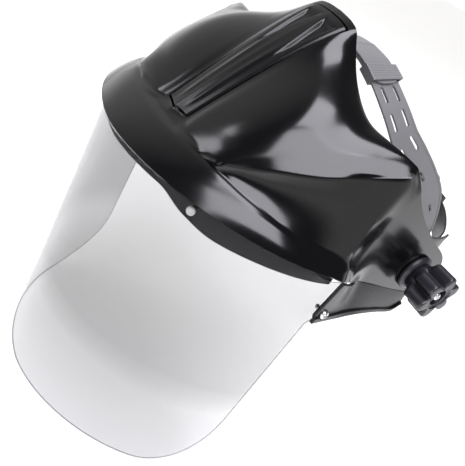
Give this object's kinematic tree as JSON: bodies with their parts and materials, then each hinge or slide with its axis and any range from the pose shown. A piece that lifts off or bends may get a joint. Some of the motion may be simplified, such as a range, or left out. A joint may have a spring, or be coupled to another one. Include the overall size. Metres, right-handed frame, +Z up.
{
  "type": "face shield",
  "caption": "Face shield with a domed black crown and a curved clear visor, tilting on star-knob pivots carried by a ratchet headgear with a slotted top strap.",
  "frame": {"origin": "middle of the tilt axis, between the two side pivots, inside the wearer's head space", "axes": "+X towards the wearer's left, -Y to the front (the visor's side), +Z up as worn, visor lowered"},
  "size_m": [0.2616, 0.3263, 0.304],
  "materials": {
    "crown_black": "high gloss",
    "panel_black": "satin",
    "satin_black": "satin",
    "knob_black": "fine matt moulding texture",
    "clear_sheet": "clear polished sheet",
    "clear_stud": "clear moulded",
    "strap_grey": "matt",
    "steel": "bright zinc",
    "washer_fibre": "dull fibre",
    "foam": "cloth-faced foam",
    "gear_white": "moulded"
  },
  "bodies": {
    "headgear": {"headband": "satin_black", "sweatband": "foam", "top_strap_left": "strap_grey", "top_strap_right": "strap_grey", "strap_keeper": "strap_grey", "strap_peg_left": "satin_black", "strap_peg_right": "satin_black", "pivot_bolt_left": "steel", "pivot_bolt_right": "steel", "friction_washer_left": "washer_fibre", "friction_washer_right": "washer_fibre", "pivot_spacer_left": "satin_black", "pivot_spacer_right": "satin_black", "ratchet_housing": "satin_black", "ratchet_cover": "satin_black", "ratchet_spring": "steel", "nape_pad": "foam"},
    "shell": {"crown_shell": "crown_black", "top_panel": "panel_black", "visor_carrier": "satin_black", "visor": "clear_sheet", "visor_stud_left": "clear_stud", "visor_stud_right": "clear_stud", "side_bracket_left": "satin_black", "side_bracket_right": "satin_black", "bracket_screw_left": "steel", "bracket_screw_right": "steel", "knob_collar_left": "knob_black", "knob_collar_right": "knob_black"},
    "star_left": {"star_knob_left": "knob_black"},
    "star_right": {"star_knob_right": "knob_black"},
    "dial": {"ratchet_knob": "knob_black", "ratchet_pinion": "gear_white"},
    "tail_left": {"rear_band_left": "satin_black"},
    "tail_right": {"rear_band_right": "satin_black"}
  },
  "joints": [
    {"name": "shell_tilt", "type": "hinge", "parent": "headgear", "child": "shell", "pos_m": [0, 0, 0], "axis": [-1, 0, 0], "range_deg": [0, 85]},
    {"name": "star_left_turn", "type": "hinge", "parent": "headgear", "child": "star_left", "pos_m": [0.12, 0, 0], "axis": [1, 0, 0], "continuous": true},
    {"name": "star_right_turn", "type": "hinge", "parent": "headgear", "child": "star_right", "pos_m": [-0.12, 0, 0], "axis": [-1, 0, 0], "continuous": true},
    {"name": "ratchet_turn", "type": "hinge", "parent": "headgear", "child": "dial", "pos_m": [0, 0.1153, 0.007], "axis": [0, 1, 0], "range_deg": [-140, 140]},
    {"name": "tail_left_slide", "type": "hinge", "parent": "headgear", "child": "tail_left", "pos_m": [0, 0.033, 0.007], "axis": [0, 0, 1], "range_deg": [-8.6, 8.6]},
    {"name": "tail_right_slide", "type": "hinge", "parent": "headgear", "child": "tail_right", "pos_m": [0, 0.033, 0.007], "axis": [0, 0, -1], "range_deg": [-8.6, 8.6]}
  ],
  "couplings": [
    {"joint": "tail_left_slide", "follows": "ratchet_turn", "ratio": 0.060753},
    {"joint": "tail_right_slide", "follows": "ratchet_turn", "ratio": 0.060753}
  ]
}
